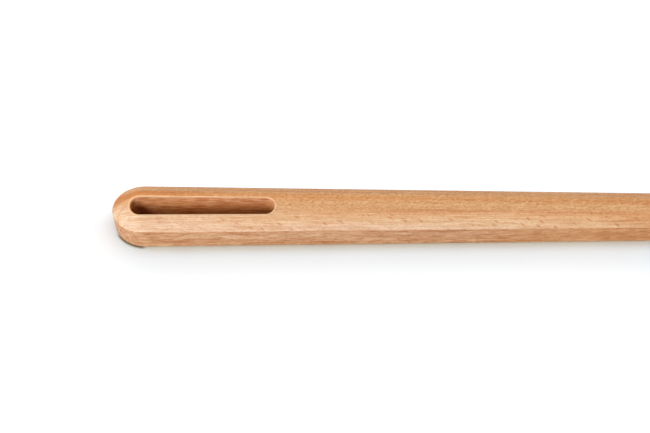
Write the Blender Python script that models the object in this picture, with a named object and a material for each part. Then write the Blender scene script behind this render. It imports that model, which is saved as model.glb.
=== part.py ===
"""Spoon spatula: a slotted beech handle, a nylon core and a silicone spoon head.

Metres, +Z up. +X runs from the butt of the handle to the tip of the head. The handle's flat
underside and the lowest line of the bowl lie on z = 0, and the origin is under the middle of
the whole length. The head pulls off the handle's tenon along +X.
"""

import math

import bmesh
import bpy
from mathutils import Vector

# Gap that two touching pieces keep
CONTACT_GAP = 0.0003

# Beech handle: flat top and underside, sloped shoulders, rounded butt
HANDLE_LENGTH = 0.220
BUTT_WIDTH = 0.0214
NECK_WIDTH = 0.0159
BUTT_THICKNESS = 0.0166
NECK_THICKNESS = 0.0154
BUTT_ROUNDING = 0.0128
SHOULDER_INSET = 0.0046
SHOULDER_DROP = 0.0036
UNDERSIDE_EASING = 0.0007

# Hanging slot: a long hole with round ends, a little narrower towards the neck
SLOT_START = 0.0075
SLOT_LENGTH = 0.0581
SLOT_BUTT_WIDTH = 0.0081
SLOT_NECK_WIDTH = 0.0073

# Tenon at the end of the handle, and the socket that it slides into
TENON_LENGTH = 0.028
TENON_TIP_CLEARANCE = 0.0010
TENON_TIP_CHAMFER = 0.0012
TENON_CORNER_RADIUS = 0.0016

# Nylon core: a socket that runs out into a thin blade under the bowl
CORE_WALL = 0.0017
CORE_RECESS = 0.0010
CORE_EASING = 0.0004
FLEX_MARGIN = 0.0115
CORE_TIP_MARGIN = 0.0200
CORE_TIP_ROUNDING = 0.0090
CORE_LEAST_REACH = 0.30
CORE_TIP_FLATNESS = 0.25

# Silicone head: a neck as wide as the handle's, and a shallow bowl with a soft lip.
# Places along it are measured from its mouth at the handle's shoulder.
HEAD_LENGTH = 0.104
SKIN = 0.0012
FLARE_START = 0.018
DISH_START = 0.028
DISH_FULL = 0.058
BOWL_WIDEST_AT = 0.068
BOWL_WIDTH = 0.057
BOWL_RIM_HEIGHT = 0.0135
TIP_RISE = 0.0042
TIP_FLAT = 0.0090
BOWL_WALL = 0.0044
TIP_WALL = 0.0018
LIP_WALL = 0.0015

# Powers that set how round or square a curve of the head is
TIP_SQUARENESS = 2.7
BOWL_FLATNESS = 2.6
RIM_FALL = 2.2
UNDERSIDE_RISE = 3.0
LIP_THINNING = 3.0

# How finely the round shapes are divided
BUTT_STEPS = 20
SLOT_END_STEPS = 14
CORNER_STEPS = 3
FLARE_STEPS = 14
TIP_STEPS = 10
CORE_STEPS = 12

# Intervals of a half section: top, shoulder, side, eased edge, underside
SECTION_STRETCHES = (5, 3, 4, 2, 6)
WALL_INTERVALS = SECTION_STRETCHES[0] + SECTION_STRETCHES[1]
EDGE_INTERVALS = SECTION_STRETCHES[2]

# Places along the length that follow from the sizes
OVERALL_LENGTH = HANDLE_LENGTH + CONTACT_GAP + HEAD_LENGTH
BUTT_X = -OVERALL_LENGTH / 2
SHOULDER_X = BUTT_X + HANDLE_LENGTH
MOUTH_X = SHOULDER_X + CONTACT_GAP
TIP_X = MOUTH_X + HEAD_LENGTH
WIDEST_X = MOUTH_X + BOWL_WIDEST_AT
FLARE_X = MOUTH_X + FLARE_START
DISH_X = MOUTH_X + DISH_START
DISH_FULL_X = MOUTH_X + DISH_FULL
BLADE_END_X = TIP_X - CORE_TIP_MARGIN
SOCKET_END_X = SHOULDER_X + TENON_LENGTH + TENON_TIP_CLEARANCE
NECK_MIDDLE_Z = NECK_THICKNESS / 2

# From the neck's outside in to the tenon: silicone skin, gap, core wall, sliding gap
TENON_INSET = SKIN + CORE_WALL + 2 * CONTACT_GAP
TENON_HALF_WIDTH = NECK_WIDTH / 2 - TENON_INSET
TENON_HALF_THICKNESS = NECK_THICKNESS / 2 - TENON_INSET


def clear_scene():
    """Remove whatever the file holds."""
    for old in list(bpy.data.objects):
        bpy.data.objects.remove(old, do_unlink=True)


def make_collection(name):
    """Add a collection to the scene."""
    collection = bpy.data.collections.new(name)
    bpy.context.scene.collection.children.link(collection)
    return collection


def make_material(name, colour, roughness):
    """A plain finish from a linear colour."""
    material = bpy.data.materials.new(name)
    material.use_nodes = True
    shader = material.node_tree.nodes["Principled BSDF"]
    shader.inputs["Base Color"].default_value = (*colour, 1.0)
    shader.inputs["Roughness"].default_value = roughness
    shader.inputs["Metallic"].default_value = 0.0
    return material


def object_from_bmesh(name, bm, collection, material=None):
    """Turn a bmesh into a named object with its faces pointing out."""
    bmesh.ops.recalc_face_normals(bm, faces=bm.faces)
    mesh = bpy.data.meshes.new(name)
    bm.to_mesh(mesh)
    bm.free()
    made = bpy.data.objects.new(name, mesh)
    collection.objects.link(made)
    if material:
        mesh.materials.append(material)
        mesh.shade_smooth()
        mesh.set_sharp_from_angle(angle=math.radians(30))
    return made


def apply_cutter(target, cutter, operation):
    """Cut or join one object with another, and keep the other as a guide."""
    modifier = target.modifiers.new(cutter.name, "BOOLEAN")
    modifier.operation = operation
    modifier.object = cutter
    cutter.hide_render = True
    cutter.display_type = "WIRE"


def arc(centre, radii, start_deg, end_deg, steps):
    """Points on an elliptic arc in plan, both ends included."""
    points = []
    for step in range(steps + 1):
        angle = math.radians(start_deg + (end_deg - start_deg) * step / steps)
        points.append((centre[0] + radii[0] * math.cos(angle), centre[1] + radii[1] * math.sin(angle)))
    return points


def extrude_outline(outline, bottom, top):
    """A prism on a plan outline; returns the bmesh with its lower and upper faces."""
    bm = bmesh.new()
    lower = bm.faces.new([bm.verts.new((x, y, bottom)) for x, y in outline])
    grown = bmesh.ops.extrude_face_region(bm, geom=[lower], use_keep_orig=True)
    raised = [item for item in grown["geom"] if isinstance(item, bmesh.types.BMVert)]
    bmesh.ops.translate(bm, verts=raised, vec=(0, 0, top - bottom))
    upper = next(item for item in grown["geom"] if isinstance(item, bmesh.types.BMFace))
    bmesh.ops.recalc_face_normals(bm, faces=bm.faces)
    return bm, lower, upper


def handle_outline():
    """Half-ellipse at the butt, then straight sides that narrow past the shoulder."""
    narrowing = (BUTT_WIDTH - NECK_WIDTH) / 2 / (HANDLE_LENGTH - BUTT_ROUNDING)
    end_x = SHOULDER_X + 2 * SHOULDER_INSET
    end_half = NECK_WIDTH / 2 - narrowing * 2 * SHOULDER_INSET
    butt_centre = (BUTT_X + BUTT_ROUNDING, 0)
    outline = arc(butt_centre, (BUTT_ROUNDING, BUTT_WIDTH / 2), 90, 270, BUTT_STEPS)
    return outline + [(end_x, -end_half), (end_x, end_half)]


def cut_square(bm, x):
    """Saw everything off beyond x and close the end."""
    geometry = bm.verts[:] + bm.edges[:] + bm.faces[:]
    cut = bmesh.ops.bisect_plane(bm, geom=geometry, plane_co=(x, 0, 0), plane_no=(1, 0, 0), clear_outer=True)
    edges = [item for item in cut["geom_cut"] if isinstance(item, bmesh.types.BMEdge)]
    bmesh.ops.contextual_create(bm, geom=edges)


def handle_blank():
    """The handle without slot and tenon: eased underside, upright sides, sloped shoulders."""
    crease = BUTT_THICKNESS - SHOULDER_DROP
    bm, lower, upper = extrude_outline(handle_outline(), UNDERSIDE_EASING, crease)
    bmesh.ops.inset_region(bm, faces=[upper], thickness=SHOULDER_INSET, depth=SHOULDER_DROP)
    bmesh.ops.inset_region(bm, faces=[lower], thickness=UNDERSIDE_EASING, depth=UNDERSIDE_EASING)
    thinning = (1 - NECK_THICKNESS / BUTT_THICKNESS) / HANDLE_LENGTH
    for vert in bm.verts:
        vert.co.z *= 1 - thinning * (vert.co.x - BUTT_X)
    cut_square(bm, SHOULDER_X)
    return bm


def slot_outline():
    """Two round ends of unlike width, joined by straight sides."""
    butt_radius = SLOT_BUTT_WIDTH / 2
    neck_radius = SLOT_NECK_WIDTH / 2
    butt_end = BUTT_X + SLOT_START + butt_radius
    neck_end = BUTT_X + SLOT_START + SLOT_LENGTH - neck_radius
    left = arc((butt_end, 0), (butt_radius, butt_radius), 90, 270, SLOT_END_STEPS)
    right = arc((neck_end, 0), (neck_radius, neck_radius), -90, 90, SLOT_END_STEPS)
    return left + right


def rounded_bar(start_x, end_x, half_width, half_thickness, tip_chamfer):
    """A bar along X in the middle of the neck, with round long edges and a chamfered far end."""
    square_end_x = end_x - tip_chamfer
    bm = bmesh.new()
    bmesh.ops.create_cube(bm, size=1.0)
    size = Vector((square_end_x - start_x, 2 * half_width, 2 * half_thickness))
    bmesh.ops.scale(bm, vec=size, verts=bm.verts)
    bmesh.ops.translate(bm, vec=((start_x + square_end_x) / 2, 0, NECK_MIDDLE_Z), verts=bm.verts)
    long_edges = [edge for edge in bm.edges
                  if abs(edge.verts[0].co.x - edge.verts[1].co.x) > size.x / 2]
    bmesh.ops.bevel(bm, geom=long_edges, offset=TENON_CORNER_RADIUS, segments=CORNER_STEPS,
                    profile=0.5, affect="EDGES")
    if tip_chamfer:
        tip = max(bm.faces, key=lambda face: face.calc_center_median().x)
        bmesh.ops.inset_region(bm, faces=[tip], thickness=tip_chamfer, depth=tip_chamfer)
    return bm


def build_handle(parts, cutters, material):
    """The beech handle: blank, slot cut through, tenon joined on."""
    handle = object_from_bmesh("handle", handle_blank(), parts, material)
    clearance = BUTT_THICKNESS / 2
    slot, _, _ = extrude_outline(slot_outline(), -clearance, BUTT_THICKNESS + clearance)
    apply_cutter(handle, object_from_bmesh("slot_cutter", slot, cutters), "DIFFERENCE")
    tenon = rounded_bar(SHOULDER_X - TENON_LENGTH / 2, SHOULDER_X + TENON_LENGTH, TENON_HALF_WIDTH,
                        TENON_HALF_THICKNESS, TENON_TIP_CHAMFER)
    apply_cutter(handle, object_from_bmesh("tenon_blank", tenon, cutters), "UNION")


def ease(value):
    """Smooth step from 0 to 1, level at both ends."""
    value = min(max(value, 0.0), 1.0)
    return value * value * (3 - 2 * value)


def between(start, end, share):
    """The value or point a share of the way from start to end."""
    if isinstance(start, tuple):
        return tuple(between(a, b, share) for a, b in zip(start, end))
    return start + (end - start) * share


def flare_share(x):
    """How far the head has widened at x, from the neck at 0 to the widest place at 1."""
    return ease((x - FLARE_X) / (WIDEST_X - FLARE_X))


def dish_share(x):
    """How far the head's section has changed at x, from the neck's bar at 0 to the bowl at 1."""
    return ease((x - DISH_X) / (DISH_FULL_X - DISH_X))


def tip_share(x):
    """How far x lies between the bowl's widest place and its tip, from 0 to 1."""
    return min(max((x - WIDEST_X) / (TIP_X - WIDEST_X), 0.0), 1.0)


def half_width_at(x):
    """Half the head's width in plan: a flare from the neck, then a broad rounded tip."""
    flare = between(NECK_WIDTH / 2, BOWL_WIDTH / 2, flare_share(x))
    rounding = (1 - tip_share(x) ** TIP_SQUARENESS) ** (1 / TIP_SQUARENESS)
    return max(flare * rounding, TIP_FLAT / 2)


def rim_height_at(x):
    """Height of the bowl's edge: the neck's crease, then the bowl's rim, then down to the tip."""
    neck_crease = NECK_THICKNESS * (1 - SHOULDER_DROP / BUTT_THICKNESS)
    rim = between(neck_crease, BOWL_RIM_HEIGHT, flare_share(x))
    return between(rim, TIP_RISE, tip_share(x) ** RIM_FALL)


def floor_height_at(x):
    """Height of the bowl's underside on the middle line: on the table, then up to the tip."""
    return TIP_RISE * tip_share(x) ** UNDERSIDE_RISE


def wall_at(x, across):
    """Wall thickness: full over the core, thin at the lip all round."""
    blade_end = tip_share(BLADE_END_X)
    middle = between(BOWL_WALL, TIP_WALL, ease((tip_share(x) - blade_end) / (1 - blade_end)))
    return between(LIP_WALL, middle, 1 - across ** LIP_THINNING)


def underside_point(x, across):
    """A point on the bowl's underside, and the way in to the wall; across is 0 to 1."""
    half = half_width_at(x)
    rise = rim_height_at(x) - floor_height_at(x)
    point = (half * across, floor_height_at(x) + rise * across ** BOWL_FLATNESS)
    slope = BOWL_FLATNESS * rise * across ** (BOWL_FLATNESS - 1) / half
    length = math.hypot(1, slope)
    return point, (-slope / length, 1 / length)


def wall_point(x, across, depth):
    """A point at a depth inside the bowl's wall, measured from its underside."""
    point, inward = underside_point(x, across)
    return point[0] + inward[0] * depth, point[1] + inward[1] * depth


def bowl_half(x):
    """Half a section of the bowl, from the middle of its inside over the lip to the underside."""
    points = []
    for step in range(WALL_INTERVALS + 1):
        across = step / WALL_INTERVALS
        points.append(wall_point(x, across, wall_at(x, across)))
    lip, inward = underside_point(x, 1.0)
    radius = wall_at(x, 1.0) / 2
    outward = (inward[1], -inward[0])
    for step in range(1, EDGE_INTERVALS):
        angle = math.pi * step / EDGE_INTERVALS
        along = radius * (1 + math.cos(angle))
        aside = radius * math.sin(angle)
        points.append((lip[0] + inward[0] * along + outward[0] * aside,
                       lip[1] + inward[1] * along + outward[1] * aside))
    for step in range(WALL_INTERVALS + 1):
        points.append(underside_point(x, 1 - step / WALL_INTERVALS)[0])
    return points


def core_half(x, skin, reach):
    """Half a section of the core's blade, a skin's depth inside both faces of the bowl."""
    top = []
    under = []
    for step in range(WALL_INTERVALS + 1):
        across = reach * step / WALL_INTERVALS
        top.append(wall_point(x, across, wall_at(x, across) - skin))
        under.append(wall_point(x, across, skin))
    edge = [between(top[-1], under[-1], step / EDGE_INTERVALS) for step in range(1, EDGE_INTERVALS)]
    return top + edge + under[::-1]


def neck_half(half, inset, easing):
    """Half the neck's bar: the handle's end section at a given half width, drawn in evenly."""
    crease = NECK_THICKNESS * (1 - SHOULDER_DROP / BUTT_THICKNESS)
    outline = [(0, NECK_THICKNESS), (half - SHOULDER_INSET, NECK_THICKNESS), (half, crease),
               (half, 0), (0, 0)]
    outline = inset_corners(outline, inset)
    foot_y, foot_z = outline[3]
    corners = outline[:3] + [(foot_y, foot_z + easing), (foot_y - easing, foot_z), outline[4]]
    points = [corners[0]]
    for start, end, count in zip(corners, corners[1:], SECTION_STRETCHES):
        points += [between(start, end, step / count) for step in range(1, count + 1)]
    return points


def inset_corners(corners, inset):
    """Move each side of an open half outline in by the inset, keeping its ends on the middle."""
    normals = []
    for start, end in zip(corners, corners[1:]):
        along = Vector((end[0] - start[0], end[1] - start[1])).normalized()
        normals.append(Vector((along.y, -along.x)))
    moved = []
    for index, corner in enumerate(corners):
        before = normals[max(index - 1, 0)]
        after = normals[min(index, len(normals) - 1)]
        mitre = (before + after) / (1 + before.dot(after))
        moved.append((corner[0] + mitre.x * inset, corner[1] + mitre.y * inset))
    return moved


def full_ring(x, half):
    """Mirror a half section over the middle plane into a closed ring."""
    mirrored = [(-y, z) for y, z in reversed(half[1:-1])]
    return [(x, y, z) for y, z in half + mirrored]


def blended_ring(x, neck, bowl, shift=0.0):
    """A ring part of the way from the neck's section to the bowl's, set a shift further on."""
    share = dish_share(x)
    return full_ring(x + shift, [between(a, b, share) for a, b in zip(neck, bowl)])


def loft(rings):
    """Join rings of equal count into one closed skin, with a flat cap at each end."""
    bm = bmesh.new()
    rows = [[bm.verts.new(point) for point in ring] for ring in rings]
    for row, following in zip(rows, rows[1:]):
        for index in range(len(row)):
            neighbour = (index + 1) % len(row)
            bm.faces.new((row[index], row[neighbour], following[neighbour], following[index]))
    bm.faces.new(rows[0])
    bm.faces.new(rows[-1])
    return bm


def head_stations():
    """Places of the head's rings: even along the flare, and closer together round the tip."""
    stations = [MOUTH_X]
    stations += [between(FLARE_X, WIDEST_X, step / FLARE_STEPS) for step in range(FLARE_STEPS + 1)]
    for step in range(1, TIP_STEPS + 1):
        quarter = math.sin(math.pi / 2 * step / TIP_STEPS)
        stations.append(between(WIDEST_X, TIP_X, quarter ** (2 / TIP_SQUARENESS)))
    return stations


def core_rounding_share(x):
    """How far x lies into the rounded end of the core's blade, from 0 to 1."""
    return min(max((x - BLADE_END_X) / CORE_TIP_ROUNDING + 1, 0.0), 1.0)


def core_reach_at(x):
    """How far out the core's blade reaches, as a share of the bowl's half width."""
    reach = max(1 - FLEX_MARGIN / half_width_at(x), CORE_LEAST_REACH)
    rounding = math.sqrt(1 - core_rounding_share(x) ** 2)
    return reach * max(rounding, CORE_TIP_FLATNESS)


def core_bmesh(grow, start_x):
    """The core's outside, or the room for it when grown by the gap."""
    skin = SKIN + CONTACT_GAP - grow
    socket_bar = neck_half(NECK_WIDTH / 2, skin, CORE_EASING)
    stations = [start_x, FLARE_X, BLADE_END_X - CORE_TIP_ROUNDING / 3]
    stations += [between(DISH_X, BLADE_END_X, step / CORE_STEPS) for step in range(CORE_STEPS + 1)]
    rings = []
    for x in sorted(stations):
        reach = core_reach_at(x) + grow / half_width_at(x)
        shift = grow * core_rounding_share(x)
        rings.append(blended_ring(x, socket_bar, core_half(x, skin, reach), shift))
    return loft(rings)


def build_core(parts, cutters, material):
    """The nylon core with the blind socket for the tenon."""
    core = object_from_bmesh("head_core", core_bmesh(0.0, MOUTH_X + CORE_RECESS), parts, material)
    socket = rounded_bar(SHOULDER_X - TENON_LENGTH / 2, SOCKET_END_X, TENON_HALF_WIDTH + CONTACT_GAP,
                         TENON_HALF_THICKNESS + CONTACT_GAP, 0)
    apply_cutter(core, object_from_bmesh("socket_cutter", socket, cutters), "DIFFERENCE")
    return core


def build_head(parts, cutters, material):
    """The silicone spoon head with the room for the core, open at the neck's mouth."""
    rings = []
    for x in head_stations():
        neck = neck_half(half_width_at(x), 0.0, UNDERSIDE_EASING)
        rings.append(blended_ring(x, neck, bowl_half(x)))
    head = object_from_bmesh("spoon_head", loft(rings), parts, material)
    room = core_bmesh(CONTACT_GAP, MOUTH_X - CORE_RECESS)
    apply_cutter(head, object_from_bmesh("core_room", room, cutters), "DIFFERENCE")
    return head


def main():
    clear_scene()
    parts = make_collection("spoon_spatula")
    cutters = make_collection("cutters")
    beech = make_material("oiled_beech", (0.70, 0.41, 0.21), 0.45)
    nylon = make_material("moulded_nylon", (0.12, 0.12, 0.13), 0.5)
    silicone = make_material("moulded_silicone", (0.11, 0.23, 0.24), 0.55)
    build_handle(parts, cutters, beech)
    pull = bpy.data.objects.new("head_pull", None)
    pull.location = (SHOULDER_X, 0, NECK_MIDDLE_Z)
    parts.objects.link(pull)
    bpy.context.view_layer.update()
    for piece in (build_core(parts, cutters, nylon), build_head(parts, cutters, silicone)):
        piece.parent = pull
        piece.matrix_parent_inverse = pull.matrix_world.inverted()


main()
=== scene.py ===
"""Looks of the spoon spatula: oiled beech, matt silicone and glass-filled nylon in a white studio.

Metres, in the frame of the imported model: +X from the butt of the handle to the tip of the head,
+Z up, and the surface that it lies on at z = 0. Every piece is a loft of half sections that are
mirrored over the middle plane.
"""

import math

import bmesh
import bpy
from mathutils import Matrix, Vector


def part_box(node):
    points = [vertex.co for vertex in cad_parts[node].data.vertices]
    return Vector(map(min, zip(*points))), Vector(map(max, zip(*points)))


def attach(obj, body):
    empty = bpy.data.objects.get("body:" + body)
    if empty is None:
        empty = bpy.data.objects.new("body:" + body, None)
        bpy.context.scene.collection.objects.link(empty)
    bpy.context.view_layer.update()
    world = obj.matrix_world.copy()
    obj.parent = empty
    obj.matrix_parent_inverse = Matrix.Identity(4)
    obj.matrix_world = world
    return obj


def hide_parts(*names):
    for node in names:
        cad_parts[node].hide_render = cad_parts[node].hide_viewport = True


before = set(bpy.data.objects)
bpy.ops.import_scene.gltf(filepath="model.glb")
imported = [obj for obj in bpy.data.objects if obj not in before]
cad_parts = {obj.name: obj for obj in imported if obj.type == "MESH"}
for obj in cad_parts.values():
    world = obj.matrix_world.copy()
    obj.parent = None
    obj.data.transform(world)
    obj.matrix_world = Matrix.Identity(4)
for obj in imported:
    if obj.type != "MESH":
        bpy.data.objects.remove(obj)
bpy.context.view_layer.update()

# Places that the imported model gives
BUTT_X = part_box("handle")[0].x
TENON_END_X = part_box("handle")[1].x
MOUTH_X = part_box("spoon_head")[0].x
TIP_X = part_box("spoon_head")[1].x
CORE_START_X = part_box("head_core")[0].x
BLADE_END_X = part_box("head_core")[1].x

# A millimetre in metres, and the gap that two touching pieces keep
MM = 0.001
CONTACT_GAP = 0.0003
SHOULDER_X = MOUTH_X - CONTACT_GAP

# Beech handle: its driving sizes, and the roundings that sanding leaves
BUTT_WIDTH = 0.0214
NECK_WIDTH = 0.0159
BUTT_THICKNESS = 0.0166
NECK_THICKNESS = 0.0154
BUTT_ROUNDING = 0.0128
SHOULDER_INSET = 0.0046
SHOULDER_DROP = 0.0036
SHOULDER_BLEND = 0.0022
CREASE_RADIUS = 0.0008
FOOT_RADIUS = 0.0012
SAWN_EDGE_RADIUS = 0.00025

# Hanging slot
SLOT_START = 0.0075
SLOT_LENGTH = 0.0581
SLOT_BUTT_WIDTH = 0.0081
SLOT_NECK_WIDTH = 0.0073
SLOT_LIP_RADIUS = 0.0005

# Tenon, and the socket that it slides into
TENON_TIP_CLEARANCE = 0.0010
TENON_TIP_CHAMFER = 0.0012
TENON_CORNER_RADIUS = 0.0016
TENON_ROOT_RADIUS = 0.0004

# Nylon core
CORE_WALL = 0.0017
CORE_EDGE_RADIUS = 0.0004
SOCKET_LEAD_IN = 0.0003
FLEX_MARGIN = 0.0115
CORE_TIP_ROUNDING = 0.0090
CORE_LEAST_REACH = 0.30
CORE_TIP_FLATNESS = 0.25

# Silicone head, with places along it measured from its mouth
SKIN = 0.0012
MOUTH_EDGE_RADIUS = 0.0003
FLARE_START = 0.018
DISH_START = 0.028
DISH_FULL = 0.058
BOWL_WIDEST_AT = 0.068
BOWL_WIDTH = 0.057
BOWL_RIM_HEIGHT = 0.0135
TIP_RISE = 0.0042
TIP_FLAT = 0.0090
BOWL_WALL = 0.0044
TIP_WALL = 0.0018
LIP_WALL = 0.0015
TIP_SQUARENESS = 2.7
BOWL_FLATNESS = 2.6
RIM_FALL = 2.2
UNDERSIDE_RISE = 3.0
LIP_THINNING = 3.0
TIP_EDGE_RADIUS = 0.0009
TIP_EDGE_FLATNESS = 0.2

# Intervals of a half section: flat top, sloped shoulder, crease, side, foot rounding, underside
TOP_STEPS = 15
SLOPE_STEPS = 9
CREASE_STEPS = 4
SIDE_STEPS = 8
FOOT_STEPS = 6
UNDER_STEPS = 18

# Intervals along the length
BUTT_STEPS = 32
SLOT_STEPS = 44
SLOT_END_STEPS = 16
BODY_STEPS = 100
TENON_STEPS = 16
NECK_STEPS = 12
FLARE_STEPS = 56
TIP_STEPS = 30
CORE_STEPS = 40
EDGE_STEPS = 4
LIP_STEPS = 5
WALL_STEPS = 10

# Mesh: how close points become one, and the angle from which an edge shows sharp
MERGE_DISTANCE = 1e-7
SHARP_ANGLE = math.radians(50)

# Places and sizes that follow from these
SLOT_BUTT_CENTRE_X = BUTT_X + SLOT_START + SLOT_BUTT_WIDTH / 2
SLOT_NECK_CENTRE_X = BUTT_X + SLOT_START + SLOT_LENGTH - SLOT_NECK_WIDTH / 2
WIDEST_X = MOUTH_X + BOWL_WIDEST_AT
FLARE_X = MOUTH_X + FLARE_START
DISH_X = MOUTH_X + DISH_START
DISH_FULL_X = MOUTH_X + DISH_FULL
SOCKET_END_X = TENON_END_X + TENON_TIP_CLEARANCE
NECK_MIDDLE_Z = NECK_THICKNESS / 2
TENON_INSET = SKIN + CORE_WALL + 2 * CONTACT_GAP
TENON_HALF_WIDTH = NECK_WIDTH / 2 - TENON_INSET
TENON_HALF_THICKNESS = NECK_THICKNESS / 2 - TENON_INSET

# Beech: where the heart of the tree lay, the spacing and wander of its rings, the direction and
# drift of its zones of colour, and the slant of its rays in degrees
PITH = (0.0, 30 * MM, -36 * MM)
RING_WIDTH_MM = 2.6
RING_WANDER = 2.4 * MM
ZONE_DIRECTION = (0.008, 1.0, 0.25)
ZONE_DRIFT = 3.0 * MM
RAY_SLANT = 24

# Beech along the handle: from where to where each change sets in
# The first two are partly a painted highlight of the lamp on the front shoulder
PALE_AND_HIGHLIT_BY_SLOT = (-80 * MM, -125 * MM)
PALE_AND_HIGHLIT_AT_BUTT = (-146 * MM, -158 * MM)
WARM_BY_HEAD = (-10 * MM, 35 * MM)
SMOOTH_BUTT = (-138 * MM, -152 * MM)
CLEARER_FLECKS = (-190 * MM, -90 * MM)
BROWN_SHOULDER = (-115 * MM, -150 * MM)
ORANGE_FRONT = (-30 * MM, 30 * MM)
# Where the painted shade in the slot grows weaker towards the butt
WEAKER_SLOT_SHADE = (-140 * MM, -147 * MM)
# Where the painted highlight on the slot's rim sets in
RIM_HIGHLIGHT_END = (-151 * MM, -154 * MM)

# Beech across the handle, where negative is the front
PALE_FRONT = (1 * MM, -2 * MM)
FINE_FRONT = (-1 * MM, -5 * MM)
FLECKED_FRONT = (-2.5 * MM, -4.5 * MM)
RIPPLED_BACK = (-3.5 * MM, 1.5 * MM)
FRONT_WALL = (3 * MM, -3 * MM)
BACK_WALL = (1 * MM, 5 * MM)
FRONT_LIP = (-2 * MM, 2 * MM)

# Beech by the slot: distances from its wall, heights on it, and the direction and span along which
# the painted shade of its dark corner sets in, towards the butt and downwards
SLOT_EDGE = (0.1 * MM, 0.5 * MM)
# Spans from the wall of the painted highlights on the lip and on the rim
LIP_HIGHLIGHT_SPAN = (0.50 * MM, 0.30 * MM)
RIM_HIGHLIGHT_SPAN = (1.1 * MM, 0.7 * MM)
LIP_HEIGHT = (15.1 * MM, 15.6 * MM)
# Heights of the painted shade on the slot's walls and on its end wall
SLOT_SHADE_DEPTH = (13 * MM, 2.5 * MM)
END_WALL_SHADE_DEPTH = (16.2 * MM, 14 * MM)
SHADED_CORNER_DIRECTION = (1.0, 0.0, 0.77)
SHADED_CORNER_SPAN = (-143.8 * MM, -146.4 * MM)

# Silicone: where the bowl is scratched and where its tip is rubbed
SCRATCHED_BOWL = (TIP_X - 70 * MM, TIP_X - 45 * MM)
RUBBED_TIP = (TIP_X - 7 * MM, TIP_X)

# The camera of the photograph: a lens of 1500 pixels' focal length, 62 degrees above the table
IMAGE_WIDTH_PX = 650
FOCAL_PX = 1500
SENSOR_MM = 36.0
CAMERA_TARGET = (BUTT_X + 0.0858, -0.0049, 0.016)
CAMERA_DISTANCE = 0.600
CAMERA_ELEVATION = 62.04
CLIP_RANGE = (0.01, 50.0)

# White table: its size and colour, how bright it shows by the handle and away from it, the spans
# across and outwards over which that changes, those along and across over which its shade does,
# and the reach of its two contact shades
FLOOR_SIZE = 12.0
FLOOR_COLOUR = "#BCBCBC"
FLOOR_SHOWN = 1.40
FLOOR_SHOWN_FAR = 1.90
BEHIND_HANDLE = (0.0, 0.020)
FAR_OUT = (0.18, 0.50)
PAST_SHOWN_WOOD = (54 * MM, 74 * MM)
PAST_BUTT = (-158 * MM, -165 * MM)
# Where the painted contact shadow lies under the butt's front edge
BUTT_SHADOW_ALONG = (-149 * MM, -151 * MM)
BUTT_SHADOW_ACROSS = (-4 * MM, -6 * MM)
CONTACT_SHADE = 20 * MM
CONTACT_LINE = 1.5 * MM

# Light: the surroundings' level as a share of white, the lamp on the object and the one on the table
AMBIENT_LEVEL = 0.63
KEY_LAMP = {"azimuth": -36, "elevation": 42, "distance": 0.9, "size": (0.45, 0.30), "level": 0.65}
TABLE_LAMP = {"azimuth": 180, "elevation": 86, "distance": 1.0, "size": (0.8, 0.7), "level": 0.2}

# Sockets that a mix node has for its two colours and for the colour that comes of them
COLOUR_A = 6
COLOUR_B = 7
COLOUR_OUT = 2


def linear(hex_colour):
    """An sRGB hex colour as linear RGBA."""
    channels = [int(hex_colour[index:index + 2], 16) / 255 for index in (1, 3, 5)]
    lit = [c / 12.92 if c <= 0.04045 else ((c + 0.055) / 1.055) ** 2.4 for c in channels]
    return (*lit, 1.0)


def between(start, end, share):
    """The value or point a share of the way from start to end."""
    if isinstance(start, tuple):
        return tuple(between(a, b, share) for a, b in zip(start, end))
    return start + (end - start) * share


def held(value):
    """A value, held between 0 and 1."""
    return min(max(value, 0.0), 1.0)


def ease(value):
    """Smooth step from 0 to 1, level at both ends."""
    value = held(value)
    return value * value * (3 - 2 * value)


def rounding(corner, before, after, radius, steps):
    """Points round a corner in a plane, from the direction before it to the direction after it."""
    corner, before, after = Vector(corner), Vector(before).normalized(), Vector(after).normalized()
    half_angle = before.angle(after) / 2
    centre = corner + (before + after).normalized() * (radius / math.sin(half_angle))
    start = corner + before * (radius / math.tan(half_angle)) - centre
    end = corner + after * (radius / math.tan(half_angle)) - centre
    return [tuple(centre + start.lerp(end, step / steps).normalized() * radius)
            for step in range(steps + 1)]


def quarter(steps):
    """Steps round a quarter of a circle of radius 1, as the distances left and gone at each."""
    angles = [math.pi / 2 * step / steps for step in range(steps + 1)]
    return [(1 - math.sin(angle), 1 - math.cos(angle)) for angle in angles]


def stretch(start, end, steps):
    """Points from start to end, without the start."""
    return [between(start, end, step / steps) for step in range(1, steps + 1)]


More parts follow.
